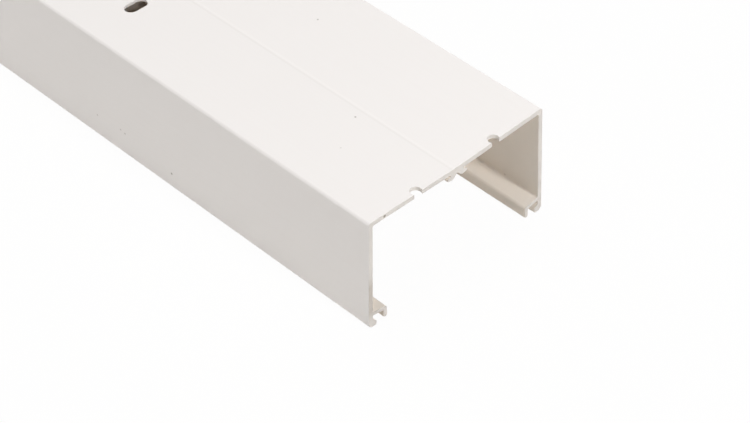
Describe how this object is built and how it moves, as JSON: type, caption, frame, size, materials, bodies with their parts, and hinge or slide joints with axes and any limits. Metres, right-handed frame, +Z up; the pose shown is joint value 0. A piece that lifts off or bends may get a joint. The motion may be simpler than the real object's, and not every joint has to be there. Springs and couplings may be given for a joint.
{
  "type": "cord cover raceway",
  "caption": "Open U-shaped plastic raceway base that holds cords along a wall, with inward ledges and snap beads for a cover, a divider rail and cross slots for screws.",
  "frame": {"origin": "centre of the length and width, on the level of the walls' free ends", "axes": "+Y along the length, +X across the width, +Z up out of the web's outer face, as the stock lies web up on a floor"},
  "size_m": [0.0922, 2, 0.051],
  "materials": {
    "white_pvc": "satin"
  },
  "bodies": {
    "root": {"raceway_base": "white_pvc"}
  },
  "joints": []
}
